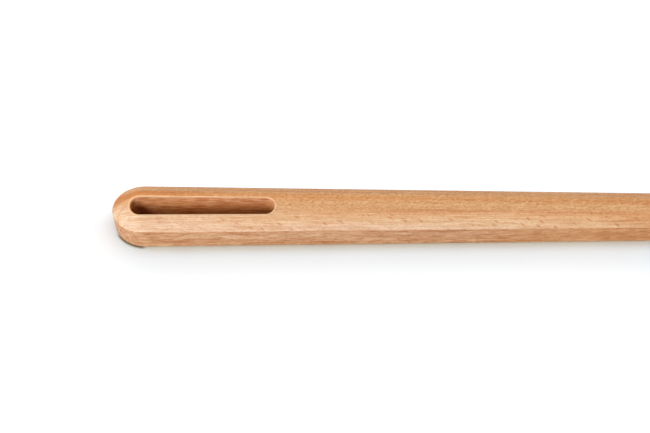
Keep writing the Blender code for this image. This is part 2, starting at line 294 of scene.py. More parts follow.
class Bar:
    """Sizes of the handle's section, or of one drawn in evenly by an inset."""

    def __init__(self, inset=0.0, crease_radius=CREASE_RADIUS, foot_radius=FOOT_RADIUS):
        slant = math.hypot(SHOULDER_INSET, SHOULDER_DROP) / SHOULDER_INSET
        slope = SHOULDER_DROP / SHOULDER_INSET
        self.inset = inset
        self.top = BUTT_THICKNESS - inset
        self.foot = inset
        self.flat_from = SHOULDER_INSET + inset * ((slant - 1) / slope - 1)
        self.drop = SHOULDER_DROP + inset * (slant - 1 - slope)
        self.crease_radius = crease_radius
        self.foot_radius = foot_radius

    def height(self, way_in):
        """Height of the top at a distance in from the side, with a soft bend at the flat."""
        slope = self.drop / self.flat_from
        if way_in >= self.flat_from + SHOULDER_BLEND:
            return self.top
        if way_in <= self.flat_from - SHOULDER_BLEND:
            return self.top - slope * (self.flat_from - way_in)
        left = self.flat_from + SHOULDER_BLEND - way_in
        return self.top - slope * left * left / (4 * SHOULDER_BLEND)

    def half(self, reach):
        """Half a section as (way in from the side, height), from the top's middle to the foot's."""
        crease = (0.0, self.top - self.drop)
        up_slope = (self.flat_from, self.drop)
        crease_arc = rounding(crease, up_slope, (0, -1), self.crease_radius, CREASE_STEPS)
        foot_arc = rounding((0.0, self.foot), (0, 1), (1, 0), self.foot_radius, FOOT_STEPS)
        ways = [between(reach, self.flat_from, step / TOP_STEPS) for step in range(TOP_STEPS + 1)]
        ways += stretch(self.flat_from, crease_arc[0][0], SLOPE_STEPS)[:-1]
        points = [(way, self.height(way)) for way in ways] + crease_arc
        points += stretch(crease_arc[-1], foot_arc[0], SIDE_STEPS)[:-1] + foot_arc
        return points + stretch(foot_arc[-1], (reach, self.foot), UNDER_STEPS)


def rounded_bar_half(half_width, half_thickness, radius):
    """Half a rounded rectangle round the neck's middle, as (y, z) from top to bottom."""
    top = NECK_MIDDLE_Z + half_thickness
    bottom = NECK_MIDDLE_Z - half_thickness
    upper = rounding((half_width, top), (-1, 0), (0, -1), radius, CREASE_STEPS)
    lower = rounding((half_width, bottom), (0, 1), (-1, 0), radius, FOOT_STEPS)
    points = [(0.0, top)] + stretch((0.0, top), upper[0], TOP_STEPS + SLOPE_STEPS)
    points += upper[1:] + stretch(upper[-1], lower[0], SIDE_STEPS) + lower[1:]
    return points + stretch(lower[-1], (0.0, bottom), UNDER_STEPS)


def thinned(x):
    """How much thinner the handle is at x than at its butt."""
    thinning = (1 - NECK_THICKNESS / BUTT_THICKNESS) / (SHOULDER_X - BUTT_X)
    return 1 - thinning * (x - BUTT_X)


def handle_half_width(x):
    """Half the handle's width where its sides are straight."""
    length = SHOULDER_X - BUTT_X - BUTT_ROUNDING
    narrowing = (BUTT_WIDTH - NECK_WIDTH) / 2 / length
    return BUTT_WIDTH / 2 - narrowing * (x - BUTT_X - BUTT_ROUNDING)


def on_circle(centre_x, radii, angle):
    """A point on an ellipse round a place on the middle line."""
    return (centre_x + radii[0] * math.cos(angle), radii[1] * math.sin(angle))


def slot_lines():
    """Lines in plan from the outline in to the slot, as (outline, lip's outer edge, wall)."""
    butt_radius = SLOT_BUTT_WIDTH / 2
    neck_radius = SLOT_NECK_WIDTH / 2
    lines = []
    for step in range(BUTT_STEPS + 1):
        angle = math.pi * (1 - step / BUTT_STEPS / 2)
        lines.append((on_circle(BUTT_X + BUTT_ROUNDING, (BUTT_ROUNDING, BUTT_WIDTH / 2), angle),
                      on_circle(SLOT_BUTT_CENTRE_X, [butt_radius + SLOT_LIP_RADIUS] * 2, angle),
                      on_circle(SLOT_BUTT_CENTRE_X, [butt_radius] * 2, angle)))
    straight_start = lines[-1]
    straight_end = ((SLOT_NECK_CENTRE_X, handle_half_width(SLOT_NECK_CENTRE_X)),
                    (SLOT_NECK_CENTRE_X, neck_radius + SLOT_LIP_RADIUS),
                    (SLOT_NECK_CENTRE_X, neck_radius))
    lines += stretch(straight_start, straight_end, SLOT_STEPS)
    for step in range(1, SLOT_END_STEPS + 1):
        angle = math.pi / 2 * (1 - step / SLOT_END_STEPS)
        x = SLOT_NECK_CENTRE_X + (neck_radius + SLOT_LIP_RADIUS) * step / SLOT_END_STEPS
        lines.append(((x, handle_half_width(x)),
                      on_circle(SLOT_NECK_CENTRE_X, [neck_radius + SLOT_LIP_RADIUS] * 2, angle),
                      on_circle(SLOT_NECK_CENTRE_X, [neck_radius] * 2, angle)))
    return lines


def body_half_ring(bar, outline, inner):
    """Half a section of the handle that stands on a line in plan, from the top to the underside."""
    across = Vector(inner) - Vector(outline)
    inward = across.normalized()
    ring = []
    for way, height in bar.half(across.length):
        x, y = Vector(outline) + inward * way
        ring.append((x, y, height * thinned(x)))
    return ring


def slot_wall_half_ring(lip_top, lip_bottom, wall):
    """The slot's side of one section: rounded upper lip, upright wall, rounded lower lip."""
    upper, lower = [[(between(wall[0], x, left), between(wall[1], y, left),
                      z + SLOT_LIP_RADIUS * gone * down) for left, gone in quarter(LIP_STEPS)]
                    for x, y, z, down in ((*lip_top, -1), (*lip_bottom, 1))]
    return upper + stretch(upper[-1], lower[-1], WALL_STEPS)[:-1] + lower[::-1]


def add_strip(bm, rings):
    """Join half rings of equal count with quads."""
    rows = [[bm.verts.new(point) for point in ring] for ring in rings]
    for row, following in zip(rows, rows[1:]):
        for index in range(len(row) - 1):
            bm.faces.new((row[index], row[index + 1], following[index + 1], following[index]))


def add_object(name, data):
    """An object in the scene, from its mesh, lamp or camera."""
    made = bpy.data.objects.new(name, data)
    bpy.context.scene.collection.objects.link(made)
    return made


def finish_mirrored(name, bm, body, node):
    """Mirror the half, close its ends and make it the shown piece of a body."""
    bmesh.ops.remove_doubles(bm, verts=bm.verts, dist=MERGE_DISTANCE)
    bmesh.ops.mirror(bm, geom=bm.verts[:] + bm.edges[:] + bm.faces[:], axis="Y",
                     merge_dist=MERGE_DISTANCE)
    open_edges = [edge for edge in bm.edges if edge.is_boundary]
    bmesh.ops.holes_fill(bm, edges=open_edges)
    bmesh.ops.recalc_face_normals(bm, faces=bm.faces)
    mesh = bpy.data.meshes.new(name)
    bm.to_mesh(mesh)
    bm.free()
    mesh.shade_smooth()
    mesh.set_sharp_from_angle(angle=SHARP_ANGLE)
    piece = add_object(name, mesh)
    weighted = piece.modifiers.new("even_shading", "WEIGHTED_NORMAL")
    weighted.keep_sharp = True
    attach(piece, body)
    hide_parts(node)
    return piece


def ring_at(x, half_section):
    """A half section of (y, z) points as a half ring at x."""
    return [(x, y, z) for y, z in half_section]


def drawn_in(half_section, inset):
    """A half section shrunk evenly towards the neck's middle."""
    half_width = max(y for y, _ in half_section)
    half_height = (half_section[0][1] - half_section[-1][1]) / 2
    middle = (half_section[0][1] + half_section[-1][1]) / 2
    return [(y * (1 - inset / half_width), middle + (z - middle) * (1 - inset / half_height))
            for y, z in half_section]


def eased_edge(x, half_section, radius, towards):
    """Half rings round an edge at the end of a bar, on the way to the end when towards is 1."""
    return [ring_at(x - towards * radius * left, drawn_in(half_section, radius * gone))
            for left, gone in quarter(EDGE_STEPS)]


def make_handle(material):
    """The beech handle in one piece: body, slot and tenon."""
    bm = bmesh.new()
    bar = Bar()
    lines = slot_lines()
    rings = [body_half_ring(bar, outline, lip) for outline, lip, _ in lines]
    walls = [slot_wall_half_ring(ring[0], ring[-1], line[2]) for ring, line in zip(rings, lines)]
    add_strip(bm, walls)
    body_start = lines[-1][0][0]
    body_end = SHOULDER_X - SAWN_EDGE_RADIUS
    for x in stretch(body_start, body_end, BODY_STEPS):
        rings.append(body_half_ring(bar, (x, handle_half_width(x)), (x, 0.0)))
    end_section = [(y, z) for _, y, z in rings[-1]]
    rings += eased_edge(SHOULDER_X, end_section, SAWN_EDGE_RADIUS, 1)[1:]
    tenon = rounded_bar_half(TENON_HALF_WIDTH, TENON_HALF_THICKNESS, TENON_CORNER_RADIUS)
    for left, gone in quarter(EDGE_STEPS):
        x = SHOULDER_X + TENON_ROOT_RADIUS * gone
        rings.append(ring_at(x, drawn_in(tenon, -TENON_ROOT_RADIUS * left)))
    tenon_start = SHOULDER_X + TENON_ROOT_RADIUS
    for x in stretch(tenon_start, TENON_END_X - TENON_TIP_CHAMFER, TENON_STEPS):
        rings.append(ring_at(x, tenon))
    rings.append(ring_at(TENON_END_X, drawn_in(tenon, TENON_TIP_CHAMFER)))
    add_strip(bm, rings)
    handle = finish_mirrored("beech_handle", bm, "handle", "handle")
    handle.data.materials.append(material)
    return handle


def flare_share(x):
    """How far the head has widened at x, from the neck at 0 to the widest place at 1."""
    return ease((x - FLARE_X) / (WIDEST_X - FLARE_X))


def dish_share(x):
    """How far the head's section has changed at x, from the neck's bar at 0 to the bowl at 1."""
    return ease((x - DISH_X) / (DISH_FULL_X - DISH_X))


def tip_share(x):
    """How far x lies between the bowl's widest place and its tip, from 0 to 1."""
    return held((x - WIDEST_X) / (TIP_X - WIDEST_X))


def half_width_at(x):
    """Half the head's width in plan: a flare from the neck, then a broad rounded tip."""
    flare = between(NECK_WIDTH / 2, BOWL_WIDTH / 2, flare_share(x))
    tip_rounding = (1 - tip_share(x) ** TIP_SQUARENESS) ** (1 / TIP_SQUARENESS)
    return max(flare * tip_rounding, TIP_FLAT / 2)


def rim_height_at(x):
    """Height of the bowl's edge: the neck's crease, then the bowl's rim, then down to the tip."""
    neck_crease = NECK_THICKNESS * (1 - SHOULDER_DROP / BUTT_THICKNESS)
    rim = between(neck_crease, BOWL_RIM_HEIGHT, flare_share(x))
    return between(rim, TIP_RISE, tip_share(x) ** RIM_FALL)


def floor_height_at(x):
    """Height of the bowl's underside on the middle line: on the table, then up to the tip."""
    return TIP_RISE * tip_share(x) ** UNDERSIDE_RISE


def wall_at(x, across):
    """Wall thickness: full over the core, thin at the lip all round."""
    blade_end = tip_share(BLADE_END_X)
    middle = between(BOWL_WALL, TIP_WALL, ease((tip_share(x) - blade_end) / (1 - blade_end)))
    return between(LIP_WALL, middle, 1 - across ** LIP_THINNING)


def wall_faces(x, across):
    """Depths of the wall's underside and inside. They close in on each other as the tip rounds off."""
    wall = wall_at(x, across)
    into_edge = held((x - TIP_X) / TIP_EDGE_RADIUS + 1)
    left = max(math.sqrt(1 - into_edge * into_edge), TIP_EDGE_FLATNESS)
    return wall * (1 - left) / 2, wall * (1 + left) / 2


def wall_point(x, across, depth):
    """A point at a depth inside the bowl's wall, measured square to its underside."""
    half = half_width_at(x)
    rise = rim_height_at(x) - floor_height_at(x)
    slope = BOWL_FLATNESS * rise * across ** (BOWL_FLATNESS - 1) / half
    length = math.hypot(1, slope)
    height = floor_height_at(x) + rise * across ** BOWL_FLATNESS
    return half * across - depth * slope / length, height + depth / length


def bowl_half(x):
    """Half a section of the bowl, from the middle of its inside over the lip to the underside."""
    inside_steps = TOP_STEPS + SLOPE_STEPS
    lip_steps = CREASE_STEPS + SIDE_STEPS
    under_steps = FOOT_STEPS + UNDER_STEPS
    points = []
    for step in range(inside_steps + 1):
        across = step / inside_steps
        points.append(wall_point(x, across, wall_faces(x, across)[1]))
    outer = Vector(wall_point(x, 1.0, wall_faces(x, 1.0)[0]))
    inward = (Vector(points[-1]) - outer).normalized()
    outward = Vector((inward.y, -inward.x))
    radius = (Vector(points[-1]) - outer).length / 2
    for step in range(1, lip_steps):
        angle = math.pi * step / lip_steps
        lip = outer + inward * radius * (1 + math.cos(angle)) + outward * radius * math.sin(angle)
        points.append(tuple(lip))
    for step in range(under_steps + 1):
        across = 1 - step / under_steps
        points.append(wall_point(x, across, wall_faces(x, across)[0]))
    return points


def blade_half(x, skin, reach):
    """Half a section of the core's blade, a skin's depth inside both faces of the bowl."""
    face_steps = TOP_STEPS + SLOPE_STEPS
    edge_steps = CREASE_STEPS + SIDE_STEPS
    top = [wall_point(x, reach * step / face_steps, wall_at(x, reach * step / face_steps) - skin)
           for step in range(face_steps + 1)]
    under = [wall_point(x, reach * step / face_steps, skin) for step in range(face_steps + 1)]
    return top + stretch(top[-1], under[-1], edge_steps)[:-1] + under[::-1]


def neck_half(bar, half_width):
    """Half a section of the neck at a given half width, as (y, z) points."""
    reach = half_width - bar.inset
    return [(reach - way, bar.foot + (z - bar.foot) * (NECK_THICKNESS - 2 * bar.inset)
             / (BUTT_THICKNESS - 2 * bar.inset)) for way, z in bar.half(reach)]


def head_half_ring(x, bar):
    """Half a ring of the head's outside."""
    return ring_at(x, [between(neck, bowl, dish_share(x))
                       for neck, bowl in zip(neck_half(bar, half_width_at(x)), bowl_half(x))])


def core_rounding_share(x):
    """How far x lies into the rounded end of the core's blade, from 0 to 1."""
    return held((x - BLADE_END_X) / CORE_TIP_ROUNDING + 1)


def core_half_rings(grow, start_x):
    """Half rings of the core's outside, or of the room for it when grown by the gap."""
    bar = Bar(SKIN + CONTACT_GAP - grow, CORE_EDGE_RADIUS, CORE_EDGE_RADIUS)
    socket_bar = neck_half(bar, NECK_WIDTH / 2)
    rings = []
    for x in [start_x] + stretch(FLARE_X, BLADE_END_X, CORE_STEPS):
        half_width = half_width_at(x)
        share_out = max(1 - FLEX_MARGIN / half_width, CORE_LEAST_REACH)
        tip_rounding = math.sqrt(1 - core_rounding_share(x) ** 2)
        reach = share_out * max(tip_rounding, CORE_TIP_FLATNESS) + grow / half_width
        blade = blade_half(x, bar.inset, reach)
        section = [between(neck, wide, dish_share(x)) for neck, wide in zip(socket_bar, blade)]
        rings.append(ring_at(x + grow * core_rounding_share(x), section))
    return rings


def make_head(material):
    """The silicone spoon head, with the room for the core open at its mouth."""
    bm = bmesh.new()
    bar = Bar()
    stations = stretch(MOUTH_X + MOUTH_EDGE_RADIUS, FLARE_X, NECK_STEPS)
    stations += stretch(FLARE_X, WIDEST_X, FLARE_STEPS)
    for step in range(1, TIP_STEPS + 1):
        turned = math.sin(math.pi / 2 * step / TIP_STEPS)
        stations.append(between(WIDEST_X, TIP_X, turned ** (2 / TIP_SQUARENESS)))
    room = core_half_rings(CONTACT_GAP, MOUTH_X)
    mouth = neck_half(bar, NECK_WIDTH / 2)
    rings = room[::-1]
    rings += eased_edge(MOUTH_X, mouth, MOUTH_EDGE_RADIUS, -1)[::-1]
    rings += [head_half_ring(x, bar) for x in stations]
    add_strip(bm, rings)
    head = finish_mirrored("silicone_spoon", bm, "head", "spoon_head")
    head.data.materials.append(material)
    return head


def make_core(material):
    """The nylon core with the blind socket for the tenon."""
    bm = bmesh.new()
    socket = rounded_bar_half(TENON_HALF_WIDTH + CONTACT_GAP, TENON_HALF_THICKNESS + CONTACT_GAP,
                              TENON_CORNER_RADIUS)
    rings = [ring_at(SOCKET_END_X, socket)]
    lead_in = CORE_START_X + SOCKET_LEAD_IN
    rings += [ring_at(x, socket) for x in stretch(SOCKET_END_X, lead_in, TENON_STEPS)]
    rings.append(ring_at(CORE_START_X, drawn_in(socket, -SOCKET_LEAD_IN)))
    rings += core_half_rings(0.0, CORE_START_X)
    add_strip(bm, rings)
    core = finish_mirrored("nylon_core", bm, "head", "head_core")
    core.data.materials.append(material)
    return core


def add_node(tree, kind, links=(), **settings):
    """Add a node: settings are its own, and links are its inputs, as values or other outputs."""
    node = tree.nodes.new(kind)
    for name, value in settings.items():
        setattr(node, name, value)
    for socket, value in dict(links).items():
        if isinstance(value, bpy.types.NodeSocket):
            tree.links.new(value, node.inputs[socket])
        else:
            node.inputs[socket].default_value = value
    return node


def sizes(along, across, high):
    """Sizes of a pattern in millimetres, as the scale of a texture's mapping."""
    return (along * MM, across * MM, high * MM)


def pattern(tree, place, size_mm, detail, roughness=0.55, turn=0.0):
    """An uneven pattern with grains of a size in millimetres, turned by an angle in plan."""
    mapped = add_node(tree, "ShaderNodeMapping", {"Vector": place, "Scale": sizes(*size_mm),
                                                  "Rotation": (0, 0, math.radians(turn))},
                      vector_type="TEXTURE")
    made = add_node(tree, "ShaderNodeTexNoise", {"Vector": mapped.outputs[0], "Scale": 1.0,
                                                 "Detail": detail, "Roughness": roughness})
    return made.outputs[0]


def mask(tree, *factors):
    """A mask, as the product of its factors. Each is a share as it is, or a value with the start and
    end of the span over which it goes from 0 to 1, or from one share to another where two follow."""
    result = None
    for factor in factors:
        if isinstance(factor, tuple):
            value, start, end, *shares = factor
            first, last = shares or (0.0, 1.0)
            factor = add_node(tree, "ShaderNodeMapRange", {"Value": value, "From Min": start,
                                                           "From Max": end, "To Min": first,
                                                           "To Max": last}).outputs[0]
        if result is None:
            result = factor
        else:
            result = add_node(tree, "ShaderNodeMath", {0: result, 1: factor},
                              operation="MULTIPLY").outputs[0]
    return result


def painted(tree, colour, paint, *factors, blend="MIX"):
    """A colour with a paint on it, as thick as a mask of these factors says."""
    made = add_node(tree, "ShaderNodeMix", {"Factor": mask(tree, *factors), COLOUR_A: colour,
                                            COLOUR_B: linear(paint)},
                    data_type="RGBA", blend_type=blend)
    return made.outputs[COLOUR_OUT]


def stained(tree, colour, stain, *factors):
    """A colour with a clear stain on it, which darkens it as far as a mask of these factors says."""
    return painted(tree, colour, stain, *factors, blend="MULTIPLY")


def set_ramp(node, *stops):
    """Give a colour ramp its stops, as (place, sRGB hex)."""
    ramp = node.color_ramp
    ramp.elements[0].position, ramp.elements[1].position = stops[0][0], stops[-1][0]
    ramp.elements[0].color, ramp.elements[1].color = linear(stops[0][1]), linear(stops[-1][1])
    for place, colour in stops[1:-1]:
        ramp.elements.new(place).color = linear(colour)


def new_material(name):
    """An empty material with its node tree."""
    material = bpy.data.materials.new(name)
    material.use_nodes = True
    material.node_tree.nodes.clear()
    return material, material.node_tree


class Surface:
    """Where a point of a surface lies in the object's frame, and which way it faces there."""

    def __init__(self, tree):
        place = add_node(tree, "ShaderNodeTexCoord")
        self.spot = place.outputs["Object"]
        parts = add_node(tree, "ShaderNodeSeparateXYZ", {0: self.spot})
        self.along, self.across, self.height = parts.outputs
        facing = add_node(tree, "ShaderNodeSeparateXYZ", {0: place.outputs["Normal"]})
        self.faces_along, self.faces_across, self.faces_up = facing.outputs


def distance_from_slot(tree, at):
    """Distance in plan from the slot's wall."""
    axis = add_node(tree, "ShaderNodeClamp", {0: at.along, 1: SLOT_BUTT_CENTRE_X,
                                              2: SLOT_NECK_CENTRE_X})
    past_end = add_node(tree, "ShaderNodeMath", {0: at.along, 1: axis.outputs[0]},
                        operation="SUBTRACT")
    offset = add_node(tree, "ShaderNodeCombineXYZ", {"X": past_end.outputs[0], "Y": at.across})
    off_axis = add_node(tree, "ShaderNodeVectorMath", {0: offset.outputs[0]}, operation="LENGTH")
    radius = mask(tree, (axis.outputs[0], SLOT_BUTT_CENTRE_X, SLOT_NECK_CENTRE_X,
                         SLOT_BUTT_WIDTH / 2, SLOT_NECK_WIDTH / 2))
    return add_node(tree, "ShaderNodeMath", {0: off_axis.outputs["Value"], 1: radius},
                    operation="SUBTRACT").outputs[0]


def beech_tone(tree, at):
    """The wood's colour: pale in front, tan in the middle and orange behind, a little paler in front
    beside the slot, at the butt and towards the head. The paleness in front, beside the slot and at the
    butt, is partly the wood's own tone and partly a painted highlight of the lamp on the front
    shoulder."""
    drift = pattern(tree, at.spot, (60, 6, 6), detail=2.0, roughness=0.5)
    zone = add_node(tree, "ShaderNodeVectorMath", {0: at.spot, 1: ZONE_DIRECTION},
                    operation="DOT_PRODUCT")
    zone = add_node(tree, "ShaderNodeMath", {0: drift, 1: ZONE_DRIFT, 2: zone.outputs["Value"]},
                    operation="MULTIPLY_ADD")
    tone = add_node(tree, "ShaderNodeValToRGB", {0: mask(tree, (zone.outputs[0], -10 * MM, 12 * MM))})
    # Pale in front, partly the wood's own tone and partly a painted highlight of the lamp on the front
    # shoulder
    set_ramp(tone, (0.12, "#F8E4CD"), (0.24, "#F2DAC4"), (0.41, "#F0D2AE"), (0.50, "#F2CCA4"),
             (0.58, "#ECBB8C"), (0.74, "#EDBE8C"), (0.82, "#F4BD84"), (0.90, "#FDC88F"))
    colour = tone.outputs[0]
    # Paler in front beside the slot and at the butt, partly the wood's own tone and partly a painted
    # highlight of the lamp; warmer towards the head
    for span, amount, paint in ((PALE_AND_HIGHLIT_BY_SLOT, 0.40, "#FFEDD8"), (PALE_AND_HIGHLIT_AT_BUTT, 0.25, "#FFEDD8"),
                                (WARM_BY_HEAD, 0.22, "#FFD9A8")):
        colour = painted(tree, colour, paint, (at.along, *span), (at.across, *PALE_FRONT), amount)
    return colour


def growth_rings(tree, at, colour):
    """Rings round a pith that lies behind and below the handle, drawn a little uneven."""
    from_pith = add_node(tree, "ShaderNodeVectorMath", {0: at.spot, 1: PITH}, operation="SUBTRACT")
    crosswise = add_node(tree, "ShaderNodeVectorMath", {0: from_pith.outputs[0], 1: (0, 1, 1)},
                         operation="MULTIPLY")
    radius = add_node(tree, "ShaderNodeVectorMath", {0: crosswise.outputs[0]}, operation="LENGTH")
    wander = pattern(tree, at.spot, (70, 9, 9), detail=2.0, roughness=0.5)
    ring = add_node(tree, "ShaderNodeMath", {0: wander, 1: RING_WANDER, 2: radius.outputs["Value"]},
                    operation="MULTIPLY_ADD")
    ring_place = add_node(tree, "ShaderNodeCombineXYZ", {"X": at.along, "Y": ring.outputs[0]})
    bands = pattern(tree, ring_place.outputs[0], (160, RING_WIDTH_MM, 1), detail=3.0)
    ring_count = add_node(tree, "ShaderNodeMath", {0: ring.outputs[0], 1: RING_WIDTH_MM * MM},
                          operation="DIVIDE")
    ring_phase = add_node(tree, "ShaderNodeMath", {0: ring_count.outputs[0]}, operation="FRACT")
    late_wood = add_node(tree, "ShaderNodeMapRange", {"Value": ring_phase.outputs[0],
                                                      "From Min": 0.72, "From Max": 0.97},
                         interpolation_type="SMOOTHSTEP")
    colour = stained(tree, colour, "#F2E2D3", (bands, 0.40, 0.68))
    return stained(tree, colour, "#E4CBB4", late_wood.outputs[0], 1 / 3)


def fibre_streaks(tree, at, colour, on_top):
    """Thin streaks along the grain, from long strands down to a stipple that is faint in front and at
    the butt, with fine lines in front instead."""
    strands = pattern(tree, at.spot, (40, 0.6, 2.5), detail=2.0)
    stipple = pattern(tree, at.spot, (1.2, 0.45, 0.8), detail=1.0)
    lines = pattern(tree, at.spot, (14, 0.42, 2.5), detail=1.0)
    top_of_butt = mask(tree, (at.along, *SMOOTH_BUTT), on_top)
    colour = stained(tree, colour, "#F3E9DF", (strands, 0.38, 0.66))
    colour = stained(tree, colour, "#E6D9CB", (stipple, 0.38, 0.62),
                     (at.across, *FINE_FRONT, 1.0, 0.5), (top_of_butt, 0.0, 1.0, 1.0, 0.25))
    return stained(tree, colour, "#F3E8DD", (lines, 0.42, 0.62), (at.across, *FINE_FRONT))


def ray_flecks(tree, at, colour, on_top):
    """The rays of beech, cut slantwise by the top: dark dashes on the front half of it, fainter
    towards the butt, and pale ripples on the back half."""
    dash_place = add_node(tree, "ShaderNodeMapping", {"Vector": at.spot, "Scale": sizes(5.6, 1.4, 40),
                                                      "Rotation": (0, 0, math.radians(-RAY_SLANT))},
                          vector_type="TEXTURE")
    dashes = add_node(tree, "ShaderNodeTexVoronoi", {"Vector": dash_place.outputs[0], "Scale": 1.0,
                                                     "Randomness": 1.0}, voronoi_dimensions="2D")
    pick = add_node(tree, "ShaderNodeSeparateColor", {0: dashes.outputs["Color"]})
    colour = stained(tree, colour, "#DDAB76", (dashes.outputs["Distance"], 0.27, 0.10),
                     (pick.outputs[0], 0.55, 0.25), (at.across, *FLECKED_FRONT),
                     (at.along, *CLEARER_FLECKS), on_top, 0.69)
    ripples = pattern(tree, at.spot, (3.4, 0.4, 40), detail=1.0, turn=RAY_SLANT)
    return painted(tree, colour, "#F2CFA6", (ripples, 0.60, 0.72), (at.across, *RIPPLED_BACK),
                   on_top, 0.5)


def quarter_sawn_sides(tree, at, colour, on_top, outside, inside):
    """The upright faces: close streaks, more orange in front, most of all towards the head, a little
    paler behind, and fresh routed wood inside the slot. At the butt a brown line runs along the back
    shoulder."""
    colour = stained(tree, colour, "#F3D8BE", (at.faces_across, 0.08, 0.20),
                     (at.faces_across, 0.55, 0.40), on_top, (at.along, *BROWN_SHOULDER))
    steepness = add_node(tree, "ShaderNodeMath", {0: at.faces_up}, operation="ABSOLUTE")
    upright = mask(tree, (steepness.outputs[0], 0.6, 0.3))
    front_wall = mask(tree, upright, outside, (at.across, *FRONT_WALL))
    colour = stained(tree, colour, "#FCE6CE", front_wall)
    colour = painted(tree, colour, "#F1B06A", front_wall, (at.along, *ORANGE_FRONT), 0.25)
    colour = painted(tree, colour, "#EBC59C", upright, outside, (at.across, *BACK_WALL), 0.35)
    colour = painted(tree, colour, "#F6C596", inside, 0.7)
    streaks = pattern(tree, at.spot, (5, 2, 0.6), detail=2.0)
    return stained(tree, colour, "#D6AB90", (streaks, 0.47, 0.60), upright, 2 / 3)


def slot_marks(tree, at, colour, on_top, distance, inside):
    """The slot: a painted highlight along its lip, and streaked walls with painted shade, darker the
    deeper they lie. At its butt end the painted shade is weaker, but for a dark corner and end wall of
    painted shade, and the rim has a painted highlight."""
    streaks = pattern(tree, at.spot, (8, 2, 1.1), detail=3.0)
    colour = stained(tree, colour, "#E6CBB2", (streaks, 0.42, 0.58), inside)
    # A painted highlight along the slot's lip
    colour = painted(tree, colour, "#F7DCB7", (distance, *LIP_HIGHLIGHT_SPAN), (at.height, *LIP_HEIGHT),
                     (at.across, *FRONT_LIP, 0.7, 0.3))
    # Painted shade on the slot's walls, darker the lower they lie and weaker towards its butt end
    colour = stained(tree, colour, "#E6D895", inside, (at.height, *SLOT_SHADE_DEPTH),
                     (at.along, *WEAKER_SLOT_SHADE, 1.0, 0.5))
    # Painted shade in the corner at the slot's butt end and on its end wall, which faces away from the
    # lamp
    diagonal = add_node(tree, "ShaderNodeVectorMath", {0: at.spot, 1: SHADED_CORNER_DIRECTION},
                        operation="DOT_PRODUCT")
    corner = mask(tree, (diagonal.outputs["Value"], *SHADED_CORNER_SPAN))
    shaded_end_wall = mask(tree, (at.faces_along, 0.5, 0.8), (at.height, *END_WALL_SHADE_DEPTH), 0.85)
    dark = add_node(tree, "ShaderNodeMath", {0: corner, 1: shaded_end_wall}, operation="MAXIMUM")
    colour = stained(tree, colour, "#B69038", dark.outputs[0], inside)
    # A painted highlight on the rim at the slot's butt end
    return painted(tree, colour, "#FFC18E", (distance, *RIM_HIGHLIGHT_SPAN), on_top,
                   (at.along, *RIM_HIGHLIGHT_END), 0.8)


def make_beech():
    """Beech, planed, sanded and oiled. It gives the eye tan growth bands that run along the handle and
    bend where the wood is shaped, fine fibres and pores, and the short slanting ray flecks of beech."""
    material, tree = new_material("oiled_beech")
    at = Surface(tree)
    on_top = mask(tree, (at.faces_up, 0.55, 0.80))
    distance = distance_from_slot(tree, at)
    outside = mask(tree, (distance, *SLOT_EDGE))
    inside = mask(tree, (distance, *SLOT_EDGE, 1.0, 0.0))

    # Real fibres and pores are under 0.1 mm wide. They are drawn 0.3 mm wide and more, to show
    fibres = pattern(tree, at.spot, (6, 0.42, 2.5), detail=2.0)
    pores = pattern(tree, at.spot, (2.6, 0.3, 1.2), detail=1.0)
    colour = growth_rings(tree, at, beech_tone(tree, at))
    colour = stained(tree, colour, "#F3E9DF", (fibres, 0.38, 0.70))
    colour = fibre_streaks(tree, at, colour, on_top)
    colour = stained(tree, colour, "#DDBFA2", (pores, 0.62, 0.80))
    colour = ray_flecks(tree, at, colour, on_top)
    colour = quarter_sawn_sides(tree, at, colour, on_top, outside, inside)
    colour = slot_marks(tree, at, colour, on_top, distance, inside)

    # Fibres raise the skin a little, pores pit it, and the routed walls of the slot are duller
    roughness = mask(tree, (fibres, 0.0, 1.0, 0.38, 0.56))
    roughness = add_node(tree, "ShaderNodeMath", {0: inside, 1: 0.4, 2: roughness},
                         operation="MULTIPLY_ADD")
    raised = add_node(tree, "ShaderNodeBump", {"Strength": 0.12, "Distance": 0.05 * MM,
                                               "Height": fibres})
    pitted = add_node(tree, "ShaderNodeBump", {"Strength": 0.3, "Distance": 0.06 * MM,
                                               "Height": mask(tree, (pores, 0.60, 0.80)),
                                               "Normal": raised.outputs[0]}, invert=True)
    shader = add_node(tree, "ShaderNodeBsdfPrincipled",
                      {"Base Color": colour, "Roughness": roughness.outputs[0],
                       "IOR": 1.47, "Specular IOR Level": 0.28, "Normal": pitted.outputs[0]})
    add_node(tree, "ShaderNodeOutputMaterial", {"Surface": shader.outputs[0]})
    return material


